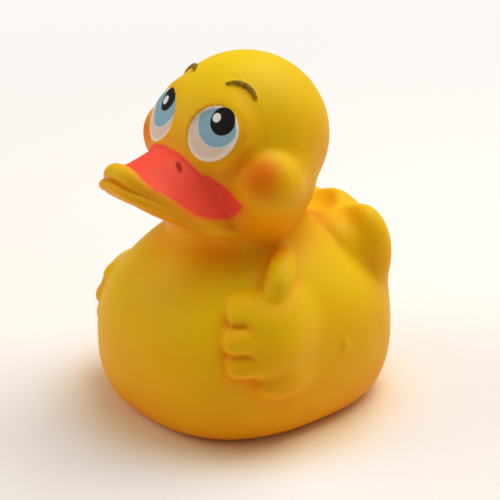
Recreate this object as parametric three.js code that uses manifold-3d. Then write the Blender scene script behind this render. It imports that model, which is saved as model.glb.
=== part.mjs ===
// Rubber duck: a hollow moulded latex bath duck with a raised thumb, and the squeaker in its base.
// Millimetres, +Z up. +X is the way the duck faces, +Y is its left side, and it rests on z = 0.
import * as THREE from 'three';
import Module from 'manifold-3d';

// Body: a round-bottomed boat shape with near-vertical walls, shoulders and a rear block.
const BODY_LENGTH = 75.8;
const BODY_WIDTH = 68.6;
const BELLY_HEIGHT = 17;
const BELLY_RISE = 27;
const BASE_ROUNDING = 6;
const SHOULDER_HEIGHT = 28;
const SHOULDER_RISE = 24;
const SHOULDER_INSET = 4.8;
const REAR_LENGTH = 23;
const REAR_INSET = 11.3;
const TAIL_TOP = 49.7;
const TAIL_LOBE_SPACING = 14;
const TAIL_OFFSET = 3.5;
const TAIL_LOBE_DEPTH = 6.5;
const BACK_DISH_LENGTH = 26;

// Head: a ball on the body, tipped back so that the duck looks up.
const HEAD_DIAMETER = 42.4;
const HEAD_HEIGHT = 71.5;
const HEAD_SETBACK = 0.7;
const HEAD_TIP_BACK = THREE.MathUtils.degToRad(15);
const NECK_RADIUS = 15.8;
const NECK_HEIGHT = 52;
const NECK_BLEND = 9;
const CHEEK_RADIUS = 9;
const LOWER_FACE_LEAN = 0.09;

// Bill: a saddle on top between a ridge on the face and a thick lip, and a lower bill with a lip of its own.
const BILL_REACH = 38.3;
const BILL_WIDTH = 31.8;
const BILL_DROOP = 0.0375;
const UPPER_LIP_TOP = 10.1;
const UPPER_LIP_HEIGHT = 4.4;
const UPPER_LIP_CORNER_HEIGHT = 1.2;
const UPPER_LIP_SETBACK = 1;
const LOWER_LIP_HEIGHT = 2.7;
const CHIN_DEPTH = 6;
const RIDGE_RADIUS = 0.6;
const NOSTRIL_LENGTH = 1.7;
const NOSTRIL_DEPTH = 0.7;

// Eyes and brows: low relief. Each eye is a shallow dome that turns outwards and down from the head's ball.
const EYE_WIDTH = 13.35;
const EYE_HEIGHT = 14.5;
const EYE_LEAN = THREE.MathUtils.degToRad(45.3);
const EYE_RELIEF = 1.27;
const EYE_TURN = 0.255;
const EYE_DOME_RADIUS = 38;
const EYE_RIM_RADIUS = 0.5;
const BROW_LENGTH = 8.9;
const BROW_THICKNESS = 1.7;
const BROW_ARC_RADIUS = 5.7;
const BROW_TURN = THREE.MathUtils.degToRad(-16);

// Hands: a closed fist on each flank. The left thumb stands up, the right one is folded.
const FIST_HEIGHT = 27.8;
const FINGER_PITCH = 6.25;
const FINGER_HEIGHT = 6.3;
const FINGER_RELIEF = 3.3;
const FINGER_ROUNDING = 2.4;
const THUMB_LENGTH = 11;
const THUMB_RADIUS = 2.8;
const RIGHT_FIST_DROP = 6.5;
const RIGHT_FIST_SINK = 0.9;

// Moulding: the latex wall, the thicker floor, and the hole that the squeaker closes.
const WALL = 2.5;
const FLOOR = 3.6;
const SQUEAKER_HOLE_DIAMETER = 16;
const SQUEAKER_FIT = 0.3;
const FLANGE_RECESS_DIAMETER = 24;
const FLANGE_RECESS_DEPTH = 1.5;

// Squeaker: a plastic cup with two flanges, a grooved reed seat, and a thin reed.
const FLANGE_THICKNESS = 1.1;
const INNER_FLANGE_OVERLAP = 1.6;
const CUP_LENGTH = 14;
const CUP_WALL = 1.2;
const AIR_HOLE_DIAMETER = 3;
const REED_SEAT_LENGTH = 9;
const REED_SEAT_DIAMETER = 5;
const REED_GROOVE_DEPTH = 1.4;
const REED_GROOVE_WIDTH = 2.2;
const REED_THICKNESS = 0.3;

// Fineness of the moulding's facets.
const OUTER_CELL_SHARE = 0.0098;
const INNER_CELL_SHARE = 0.019;
const FACE_CELL_SHARE = 0.62;
const OUTER_FACETS = 9400;
const INNER_FACETS = 2000;
const ROUND_SEGMENTS = 48;

const HALF_LENGTH = BODY_LENGTH / 2;
const HALF_WIDTH = BODY_WIDTH / 2;
const HEAD_RADIUS = HEAD_DIAMETER / 2;

// Distances to simple shapes. Each is negative inside, in millimetres near the surface.

function smoothMin(a, b, blend) {
  const overlap = Math.max(blend - Math.abs(a - b), 0) / blend;
  return Math.min(a, b) - overlap * overlap * overlap * blend / 6;
}

function smoothMax(a, b, blend) {
  return -smoothMin(-a, -b, blend);
}

function smoothStep(from, to, value) {
  const t = Math.min(Math.max((value - from) / (to - from), 0), 1);
  return t * t * (3 - 2 * t);
}

function ellipsoid(x, y, z, rx, ry, rz) {
  const ux = x / rx;
  const uy = y / ry;
  const uz = z / rz;
  const level = Math.sqrt(ux * ux + uy * uy + uz * uz);
  const slope = Math.sqrt((ux / rx) ** 2 + (uy / ry) ** 2 + (uz / rz) ** 2);
  return level * (level - 1) / Math.max(slope, 1e-6);
}

function squareEllipsoid(x, y, z, rx, ry, rz, power) {
  const ux = Math.abs(x / rx) + 1e-6;
  const uy = Math.abs(y / ry) + 1e-6;
  const uz = Math.abs(z / rz) + 1e-6;
  const sum = ux ** power + uy ** power + uz ** power;
  const level = sum ** (1 / power);
  const gx = ux ** (power - 1) / rx;
  const gy = uy ** (power - 1) / ry;
  const gz = uz ** (power - 1) / rz;
  const slope = Math.sqrt(gx * gx + gy * gy + gz * gz) * sum ** (1 / power - 1);
  return (level - 1) / Math.max(slope, 1e-6);
}

function roundRod(x, y, z, from, to, radius) {
  const dx = to[0] - from[0];
  const dy = to[1] - from[1];
  const dz = to[2] - from[2];
  const px = x - from[0];
  const py = y - from[1];
  const pz = z - from[2];
  const along = (px * dx + py * dy + pz * dz) / (dx * dx + dy * dy + dz * dz);
  const t = Math.min(Math.max(along, 0), 1);
  return Math.hypot(px - dx * t, py - dy * t, pz - dz * t) - radius;
}

function roundedBox(x, y, z, hx, hy, hz, rounding) {
  const qx = Math.abs(x) - hx + rounding;
  const qy = Math.abs(y) - hy + rounding;
  const qz = Math.abs(z) - hz + rounding;
  const out = Math.hypot(Math.max(qx, 0), Math.max(qy, 0), Math.max(qz, 0));
  return out + Math.min(Math.max(qx, qy, qz), 0) - rounding;
}

// Body, tail and back

function bodyDistance(x, y, z) {
  const side = Math.abs(y);
  const belly = squareEllipsoid(x, y, z - BELLY_HEIGHT, HALF_LENGTH, HALF_WIDTH, BELLY_RISE, 2.5);
  const shoulderX = HALF_LENGTH - SHOULDER_INSET - 2;
  const shoulderY = HALF_WIDTH - SHOULDER_INSET;
  const shoulders = ellipsoid(x - 1, y, z - SHOULDER_HEIGHT, shoulderX, shoulderY, SHOULDER_RISE);
  const rearX = HALF_LENGTH - REAR_LENGTH / 2 - 2.9;
  const rear = squareEllipsoid(
    x + rearX, y, z - 30, REAR_LENGTH / 2, HALF_WIDTH - REAR_INSET, TAIL_TOP - 31.4, 4,
  );
  let body = smoothMin(smoothMin(belly, shoulders, 8), rear, 3);
  const tailX = HALF_LENGTH - TAIL_LOBE_DEPTH - 2.9;
  const tailSide = Math.abs(y - TAIL_OFFSET);
  const middleLobe = ellipsoid(x + tailX, tailSide, z - TAIL_TOP + 11.9, TAIL_LOBE_DEPTH, 8.5, 12.2);
  const sideLobe = ellipsoid(
    x + tailX - 2.5, tailSide - TAIL_LOBE_SPACING, z - TAIL_TOP + 11.6, TAIL_LOBE_DEPTH - 0.5, 8.5, 12.2,
  );
  body = smoothMin(body, smoothMin(middleLobe, sideLobe, 0.8), 2.5);
  const dishX = HALF_LENGTH - BACK_DISH_LENGTH / 2 - 4.4;
  const dish = ellipsoid(x + dishX, y, z - TAIL_TOP - 13.8, BACK_DISH_LENGTH / 2, 26, 16.8);
  const scoop = ellipsoid(x + tailX - 7.3, tailSide, z - TAIL_TOP - 1.2, 5.6, 7, 4.4);
  body = smoothMax(body, -smoothMin(dish, scoop, 2), 2);
  return smoothMax(body, -z, BASE_ROUNDING);
}

// Hands. Along runs round the flank from the fingertips back, and proud is the distance from the body.

const FLANK_X = -0.766;
const FLANK_Y = 0.643;

function fistDistance(along, height, proud) {
  const finger = (place, number, length, relief) => roundedBox(
    along - place, height - 8.9 + FINGER_PITCH * number, proud,
    length, FINGER_HEIGHT / 2, relief, FINGER_ROUNDING,
  );
  const index = finger(2.3, 0, 7, FINGER_RELIEF);
  const middle = finger(1.9, 1, 7.3, FINGER_RELIEF + 0.2);
  const third = finger(2.4, 2, 7, FINGER_RELIEF - 0.1);
  const pad = roundedBox(along - 1.5, height - 2.6, proud, 5, 8, 2.5, 1.5);
  const fingers = smoothMin(smoothMin(smoothMin(index, middle, 0.5), third, 0.5), pad, 0.6);
  const back = ellipsoid(along - 8.8, height - 1.6, proud + 4.6, 9.8, 12, 8.9);
  const heel = ellipsoid(along - 8.4, height + 8.4, proud + 0.6, 7, 4.4, 4.6);
  return smoothMin(fingers, smoothMin(back, heel, 3), 2.4);
}

function thumbDistance(along, height, proud) {
  const root = [7, 8.5, 0];
  const joint = [7.2, 12.3, 0.8];
  const tip = [9.2, THUMB_LENGTH + 5.4, 0.7];
  const lower = roundRod(along, height, proud, root, joint, THUMB_RADIUS);
  const upper = roundRod(along, height, proud, joint, tip, THUMB_RADIUS);
  return smoothMin(lower, upper, 1);
}

// Head, in its own frame: u forward, v to the side (always positive), w up along the tipped head.

const EYE_DIRECTION = new THREE.Vector3(18.98, 9.4, 0.86).normalize();
const EYE_ACROSS = new THREE.Vector3(0, 0, 1).cross(EYE_DIRECTION).normalize();
const EYE_UP = EYE_DIRECTION.clone().cross(EYE_ACROSS);
EYE_ACROSS.applyAxisAngle(EYE_DIRECTION, -EYE_LEAN);
EYE_UP.applyAxisAngle(EYE_DIRECTION, -EYE_LEAN);

// Coordinates on the eye: across it, up it, and the distance above its dome.
function eyePlace(u, v, w) {
  const across = u * EYE_ACROSS.x + v * EYE_ACROSS.y + w * EYE_ACROSS.z;
  const up = u * EYE_UP.x + v * EYE_UP.y + w * EYE_UP.z;
  const out = u * EYE_DIRECTION.x + v * EYE_DIRECTION.y + w * EYE_DIRECTION.z;
  const sag = (across * across + up * up) / (2 * EYE_DOME_RADIUS);
  const dome = HEAD_RADIUS + EYE_RELIEF - sag + EYE_TURN * across + 0.02 * up;
  const slope = Math.hypot(1, EYE_TURN - across / EYE_DOME_RADIUS, up / EYE_DOME_RADIUS);
  return { across, up, above: (out - dome) / slope };
}

function oval(across, up, rx, ry) {
  const level = Math.hypot(across / rx, up / ry);
  const slope = Math.hypot(across / rx ** 2, up / ry ** 2) / Math.max(level, 1e-5);
  return (level - 1) / Math.max(slope, 1e-3);
}

// The brow is a tapered bead along an arc that lies on the head, over the eye.
const BROW_DIRECTION = new THREE.Vector3(14.0, 9.8, 13.2).normalize();
const BROW_ACROSS = new THREE.Vector3(0, 0, 1).cross(BROW_DIRECTION).normalize();
const BROW_UP = BROW_DIRECTION.clone().cross(BROW_ACROSS);

function browDistance(u, v, w, head) {
  const across = u * BROW_ACROSS.x + v * BROW_ACROSS.y + w * BROW_ACROSS.z + 0.6;
  const up = u * BROW_UP.x + v * BROW_UP.y + w * BROW_UP.z + BROW_ARC_RADIUS - 0.5;
  const angle = Math.atan2(across, up) + BROW_TURN;
  const half = BROW_LENGTH / 2 / BROW_ARC_RADIUS;
  const nearest = Math.min(Math.max(angle, -half), half);
  const radial = Math.hypot(across, up);
  const beyond = (angle - nearest) * radial;
  const thickness = BROW_THICKNESS / 2 * (1 - 0.4 * (nearest / half) ** 2);
  return Math.hypot(radial - BROW_ARC_RADIUS, beyond, head) - thickness;
}

// Low is the height for the muzzle and cheeks, which lean a little to one side.
function headDistance(u, v, w, low) {
  const skull = ellipsoid(u - 0.4, v, w + 0.2, HEAD_RADIUS + 0.2, HEAD_RADIUS, HEAD_RADIUS - 0.3);
  const muzzle = ellipsoid(u - HEAD_RADIUS + 11.7, v, low + 7.5, 13.8, 16, 8.5);
  const jowl = ellipsoid(u - 4, v - 8, low + 13, 13, 9.5, 8.5);
  let head = smoothMin(skull, smoothMin(muzzle, jowl, 2), 3);
  const cheek = ellipsoid(
    u - 6.6, v - HEAD_RADIUS + 2.2, low + 7.1, CHEEK_RADIUS, CHEEK_RADIUS + 0.2, CHEEK_RADIUS - 0.2,
  );
  const cheekBlend = 2.6 + 6 * (1 - smoothStep(-12, -5, low));
  if (u < 0) {
    return { face: smoothMin(head, cheek, cheekBlend), head };
  }
  const under = eyePlace(u, Math.sqrt(v * v + 4) - 0.2, w);
  const reach = oval(under.across, under.up, EYE_WIDTH / 2 + 1.5, EYE_HEIGHT / 2 + 1.5);
  head = smoothMin(head, smoothMax(under.above + 0.55, reach, 4), 6);
  head = smoothMin(head, cheek, cheekBlend);
  const eye = eyePlace(u, v, w);
  const outline = oval(eye.across, eye.up, EYE_WIDTH / 2, EYE_HEIGHT / 2);
  const pad = smoothMax(eye.above, outline, 0.8);
  const rim = Math.hypot(outline + EYE_RIM_RADIUS, eye.above + 0.25) - EYE_RIM_RADIUS;
  const socket = smoothMax(outline, -eye.above, 0.4);
  let face = smoothMax(head, -socket, 0.4);
  face = smoothMin(face, smoothMin(pad, rim, 0.4), 0.4);
  face = smoothMin(face, browDistance(u, v, w, head), 0.4);
  return { face, head };
}

// Bill, in the head's frame

const BILL_BACK = HEAD_RADIUS - 8.2;

// The plan is a rounded tongue. Its level is 0 at the middle and 1 at the edge.
function billPlan(u, v, reach, width) {
  const length = u < BILL_BACK ? 9 : reach - BILL_BACK;
  const pu = Math.abs(u - BILL_BACK) / length + 1e-6;
  const pv = v / width + 1e-6;
  const sum = pu ** 2.2 + pv ** 2.2;
  const level = sum ** (1 / 2.2);
  const slope = Math.hypot(pu ** 1.2 / length, pv ** 1.2 / width) * sum ** (1 / 2.2 - 1);
  return { level, edge: (level - 1) / Math.max(slope, 1e-6) };
}

function billDistance(u, v, w) {
  const mouthSlope = Math.hypot(1, 2 * BILL_DROOP * v);
  const upperPlan = billPlan(u, v, BILL_REACH - UPPER_LIP_SETBACK, BILL_WIDTH / 2 - 0.2).edge;
  const { level, edge: lowerPlan } = billPlan(u, v, BILL_REACH, BILL_WIDTH / 2);
  const thinning = (UPPER_LIP_HEIGHT - UPPER_LIP_CORNER_HEIGHT) * smoothStep(3, BILL_WIDTH / 2, v);
  const lipHeight = UPPER_LIP_HEIGHT - thinning;
  const lipTop = -UPPER_LIP_TOP - BILL_DROOP * v * v;
  const mouth = lipTop - lipHeight;

  const ridgeReach = HEAD_RADIUS + 2.2 - 0.034 * v * v - 0.33 * Math.max(v - 11, 0) ** 2;
  const ridgeTop = -5.7 - 0.012 * v * v - 0.14 * Math.max(v - 9.5, 0) ** 2;
  const ahead = Math.max(u - ridgeReach, 0);
  const span = ahead + Math.max(-upperPlan, 0) + 0.8;
  const share = ahead / span;
  const drop = ridgeTop - lipTop;
  const top = lipTop + drop * (1 - share) ** 1.5;
  const fall = Math.min(1.5 * Math.max(drop, 0) * Math.sqrt(1 - share) / span, 2.5);
  const above = (w - top) / Math.hypot(mouthSlope, fall);
  let upper = smoothMax(upperPlan, above, 1.5);
  upper = smoothMax(upper, (mouth - w) / mouthSlope, 0.5);
  const upperLip = lipHeight / 2 / mouthSlope;
  const upperBead = Math.hypot(upperPlan, (w - mouth - upperLip) / mouthSlope) - upperLip;
  upper = smoothMin(upper, upperBead, 0.6);

  const inset = 2.2 * smoothStep(8, 16, v);
  const chin = mouth - 3 - CHIN_DEPTH * (1 - Math.min(level, 1) ** 2);
  let lower = smoothMax(lowerPlan + inset, (w - mouth) / mouthSlope, 0.5);
  lower = smoothMax(lower, (chin - w) / Math.hypot(mouthSlope, 0.3), 1.5);
  const lowerLip = LOWER_LIP_HEIGHT / 2 - 0.6 * smoothStep(3, 16, v);
  const lowerBead = Math.hypot(lowerPlan + 0.4 * inset - 0.3, (w - mouth + lowerLip) / mouthSlope) - lowerLip;
  return { upper, lower: smoothMin(lower, lowerBead, 0.8), above };
}

function nostrilDistance(u, v, above) {
  return ellipsoid(
    u - HEAD_RADIUS - 3.4, v - 5.6, above, NOSTRIL_LENGTH / 2, NOSTRIL_LENGTH / 3, NOSTRIL_DEPTH,
  );
}

// Whole outside of the moulding

const TIP_COS = Math.cos(HEAD_TIP_BACK);
const TIP_SIN = Math.sin(HEAD_TIP_BACK);

function duckDistance(x, y, z) {
  const side = Math.abs(y);
  const dx = x + HEAD_SETBACK;
  const dz = z - HEAD_HEIGHT;
  const u = TIP_COS * dx + TIP_SIN * dz;
  const w = -TIP_SIN * dx + TIP_COS * dz;
  const low = w + LOWER_FACE_LEAN * y * (1 - smoothStep(18, 34, u));
  const neck = ellipsoid(x - 3.5, y, z - NECK_HEIGHT, NECK_RADIUS + 1.7, NECK_RADIUS, 10);
  const body = bodyDistance(x, y, z);
  const { face, head } = headDistance(u, side, w, low);
  const trunk = smoothMin(smoothMin(body, neck, NECK_BLEND), face, NECK_BLEND);
  const { upper, lower, above } = billDistance(u, side, low);
  let duck = smoothMin(trunk, upper, 0.8);
  if (u > 8) {
    duck = smoothMin(duck, Math.hypot(head - 0.1, above - 0.1) - RIDGE_RADIUS, 0.5);
  }
  duck = smoothMax(duck, -nostrilDistance(u, side, above), 0.4);
  duck = smoothMin(duck, smoothMin(trunk, lower, 3.5) + 0.1, 0.6);
  const height = z - FIST_HEIGHT;
  const along = FLANK_Y * side + FLANK_X * x;
  const fade = 1.2 + 4 * smoothStep(5, 12, along);
  if (y < 0) {
    const fist = fistDistance(along + 1.5 * FLANK_X, height + RIGHT_FIST_DROP, body + RIGHT_FIST_SINK);
    return smoothMin(duck, fist, fade + 1.5);
  }
  duck = smoothMin(duck, fistDistance(along, height, body), fade);
  return smoothMin(duck, thumbDistance(along, height, body), 1);
}

function cavityDistance(x, y, z) {
  return smoothMax(duckDistance(x, y, z) + WALL, FLOOR - z, 2);
}

// A closed mesh of the zero level of a distance, from six tetrahedra in each cell of a grid.
// The seven kinds of edge run from a grid point to its neighbour by a step of 0 or 1 on each axis.

const EDGE_MARGIN = 0.18;
const EDGE_STEPS = [[1, 0, 0], [0, 1, 0], [0, 0, 1], [1, 1, 0], [1, 0, 1], [0, 1, 1], [1, 1, 1]];
const AXIS_ORDERS = [[0, 1, 2], [1, 2, 0], [2, 0, 1], [0, 2, 1], [2, 1, 0], [1, 0, 2]];

function gridLines(low, high, cell, fineCell, fineFrom, fineTo) {
  const lines = [low];
  while (lines.at(-1) < high) {
    const place = lines.at(-1);
    lines.push(place + (place >= fineFrom && place < fineTo ? fineCell : cell));
  }
  return lines;
}

function sampleGrid(distance, [xs, ys, zs]) {
  const block = 4;
  const [nx, ny, nz] = [xs.length, ys.length, zs.length];
  const values = new Float32Array(nx * ny * nz);
  const last = (start, count) => Math.min(start + block, count) - 1;
  for (let bz = 0; bz < nz; bz += block) {
    for (let by = 0; by < ny; by += block) {
      for (let bx = 0; bx < nx; bx += block) {
        const [ex, ey, ez] = [last(bx, nx), last(by, ny), last(bz, nz)];
        const middle = distance((xs[bx] + xs[ex]) / 2, (ys[by] + ys[ey]) / 2, (zs[bz] + zs[ez]) / 2);
        const reach = Math.hypot(xs[ex] - xs[bx], ys[ey] - ys[by], zs[ez] - zs[bz]) / 2;
        const near = Math.abs(middle) < 1.5 * reach + 1;
        for (let k = bz; k <= ez; k += 1) {
          for (let j = by; j <= ey; j += 1) {
            for (let i = bx; i <= ex; i += 1) {
              const value = near ? distance(xs[i], ys[j], zs[k]) : middle;
              values[i + nx * (j + ny * k)] = value === 0 ? 1e-6 : value;
            }
          }
        }
      }
    }
  }
  return values;
}

function levelMesh(distance, lines) {
  const [xs, ys, zs] = lines;
  const [nx, ny, nz] = [xs.length, ys.length, zs.length];
  const values = sampleGrid(distance, lines);
  const positions = [];
  const triangles = [];
  const crossings = new Map();
  const kinds = new Map(EDGE_STEPS.map(([i, j, k], kind) => [i + nx * (j + ny * k), kind]));

  const crossing = (a, b) => {
    const first = Math.min(a, b);
    const kind = kinds.get(Math.max(a, b) - first);
    const key = first * 7 + kind;
    let found = crossings.get(key);
    if (found === undefined) {
      const va = values[first];
      const vb = values[Math.max(a, b)];
      const t = Math.min(Math.max(va / (va - vb), EDGE_MARGIN), 1 - EDGE_MARGIN);
      const [i, j, k] = EDGE_STEPS[kind];
      const x = first % nx;
      const y = Math.floor(first / nx) % ny;
      const z = Math.floor(first / (nx * ny));
      found = positions.length / 3;
      positions.push(
        xs[x] + (xs[x + i] - xs[x]) * t,
        ys[y] + (ys[y + j] - ys[y]) * t,
        zs[z] + (zs[z + k] - zs[z]) * t,
      );
      crossings.set(key, found);
    }
    return found;
  };

  const steps = [1, nx, nx * ny];
  const corner = new Int32Array(4);
  for (let k = 0; k < nz - 1; k += 1) {
    for (let j = 0; j < ny - 1; j += 1) {
      for (let i = 0; i < nx - 1; i += 1) {
        const start = i + nx * (j + ny * k);
        const last = start + steps[0] + steps[1] + steps[2];
        const startInside = values[start] < 0;
        let mixed = startInside !== values[last] < 0;
        for (let axis = 0; axis < 3 && !mixed; axis += 1) {
          mixed = startInside !== values[start + steps[axis]] < 0
            || startInside !== values[last - steps[axis]] < 0;
        }
        if (!mixed) {
          continue;
        }
        for (let order = 0; order < 6; order += 1) {
          corner[0] = start;
          corner[1] = corner[0] + steps[AXIS_ORDERS[order][0]];
          corner[2] = corner[1] + steps[AXIS_ORDERS[order][1]];
          corner[3] = last;
          const inside = [];
          const outside = [];
          for (let c = 0; c < 4; c += 1) {
            (values[corner[c]] < 0 ? inside : outside).push(c);
          }
          if (inside.length === 0 || outside.length === 0) {
            continue;
          }
          // The first three axis orders are even permutations, so their tetrahedra are right-handed.
          const rightHanded = order < 3;
          const cut = (a, b) => crossing(corner[a], corner[b]);
          const emit = (a, b, c, forward) => {
            triangles.push(...(forward ? [a, b, c] : [a, c, b]));
          };
          if (inside.length === 1 || inside.length === 3) {
            const lone = inside.length === 1 ? inside[0] : outside[0];
            const others = [0, 1, 2, 3].filter((c) => c !== lone);
            const evenLone = lone % 2 === 0;
            const forward = (inside.length === 1) === (evenLone === rightHanded);
            emit(cut(lone, others[0]), cut(lone, others[1]), cut(lone, others[2]), forward);
          } else {
            const [a, b] = inside;
            const [c, d] = outside;
            const even = [[0, 1, 2, 3], [0, 2, 3, 1], [0, 3, 1, 2], [2, 3, 0, 1], [1, 3, 2, 0], [1, 2, 0, 3]];
            const isEven = even.some((row) => row[0] === a && row[1] === b && row[2] === c);
            const forward = isEven === rightHanded;
            const ac = cut(a, c);
            const ad = cut(a, d);
            const bc = cut(b, c);
            const bd = cut(b, d);
            emit(ac, bc, bd, !forward);
            emit(ac, bd, ad, !forward);
          }
        }
      }
    }
  }
  return { positions: Float64Array.from(positions), triangles: Int32Array.from(triangles) };
}

// Only the largest closed surface of a mesh.

function largestSurface({ positions, triangles }) {
  const parent = Int32Array.from({ length: positions.length / 3 }, (_, index) => index);
  const root = (start) => {
    let index = start;
    while (parent[index] !== index) {
      parent[index] = parent[parent[index]];
      index = parent[index];
    }
    return index;
  };
  for (let t = 0; t < triangles.length; t += 3) {
    parent[root(triangles[t])] = root(triangles[t + 1]);
    parent[root(triangles[t + 1])] = root(triangles[t + 2]);
  }
  const sizes = new Map();
  for (let t = 0; t < triangles.length; t += 3) {
    const top = root(triangles[t]);
    sizes.set(top, (sizes.get(top) ?? 0) + 1);
  }
  const best = [...sizes].sort((a, b) => b[1] - a[1])[0][0];
  const kept = [];
  for (let t = 0; t < triangles.length; t += 3) {
    if (root(triangles[t]) === best) {
      kept.push(triangles[t], triangles[t + 1], triangles[t + 2]);
    }
  }
  return { positions, triangles: Int32Array.from(kept) };
}

// Edge collapse by the squared distance to the planes that meet at each point. Flat stretches lose
// their facets first, so the grooves, lips and rims keep theirs.

class EdgeHeap {
  constructor() {
    this.items = [];
  }

  push(item) {
    const { items } = this;
    let index = items.length;
    items.push(item);
    while (index > 0) {
      const above = (index - 1) >> 1;
      if (items[above].cost <= item.cost) {
        break;
      }
      items[index] = items[above];
      index = above;
    }
    items[index] = item;
  }

  pop() {
    const { items } = this;
    const top = items[0];
    const item = items.pop();
    const { length } = items;
    if (length > 0) {
      let index = 0;
      for (;;) {
        let below = 2 * index + 1;
        if (below >= length) {
          break;
        }
        if (below + 1 < length && items[below + 1].cost < items[below].cost) {
          below += 1;
        }
        if (items[below].cost >= item.cost) {
          break;
        }
        items[index] = items[below];
        index = below;
      }
      items[index] = item;
    }
    return top;
  }
}

function addQuadric(quadrics, vertex, a, b, c, d, weight) {
  const q = vertex * 10;
  quadrics[q] += weight * a * a;
  quadrics[q + 1] += weight * a * b;
  quadrics[q + 2] += weight * a * c;
  quadrics[q + 3] += weight * a * d;
  quadrics[q + 4] += weight * b * b;
  quadrics[q + 5] += weight * b * c;
  quadrics[q + 6] += weight * b * d;
  quadrics[q + 7] += weight * c * c;
  quadrics[q + 8] += weight * c * d;
  quadrics[q + 9] += weight * d * d;
}

function quadricCost(q, x, y, z) {
  return q[0] * x * x + 2 * q[1] * x * y + 2 * q[2] * x * z + 2 * q[3] * x
    + q[4] * y * y + 2 * q[5] * y * z + 2 * q[6] * y
    + q[7] * z * z + 2 * q[8] * z + q[9];
}

function quadricLowest(q) {
  const c00 = q[4] * q[7] - q[5] * q[5];
  const c01 = q[2] * q[5] - q[1] * q[7];
  const c02 = q[1] * q[5] - q[2] * q[4];
  const determinant = q[0] * c00 + q[1] * c01 + q[2] * c02;
  const trace = q[0] + q[4] + q[7];
  if (Math.abs(determinant) < 1e-4 * trace ** 3) {
    return null;
  }
  const c11 = q[0] * q[7] - q[2] * q[2];
  const c12 = q[1] * q[2] - q[0] * q[5];
  const c22 = q[0] * q[4] - q[1] * q[1];
  return [
    -(c00 * q[3] + c01 * q[6] + c02 * q[8]) / determinant,
    -(c01 * q[3] + c11 * q[6] + c12 * q[8]) / determinant,
    -(c02 * q[3] + c12 * q[6] + c22 * q[8]) / determinant,
  ];
}

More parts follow.
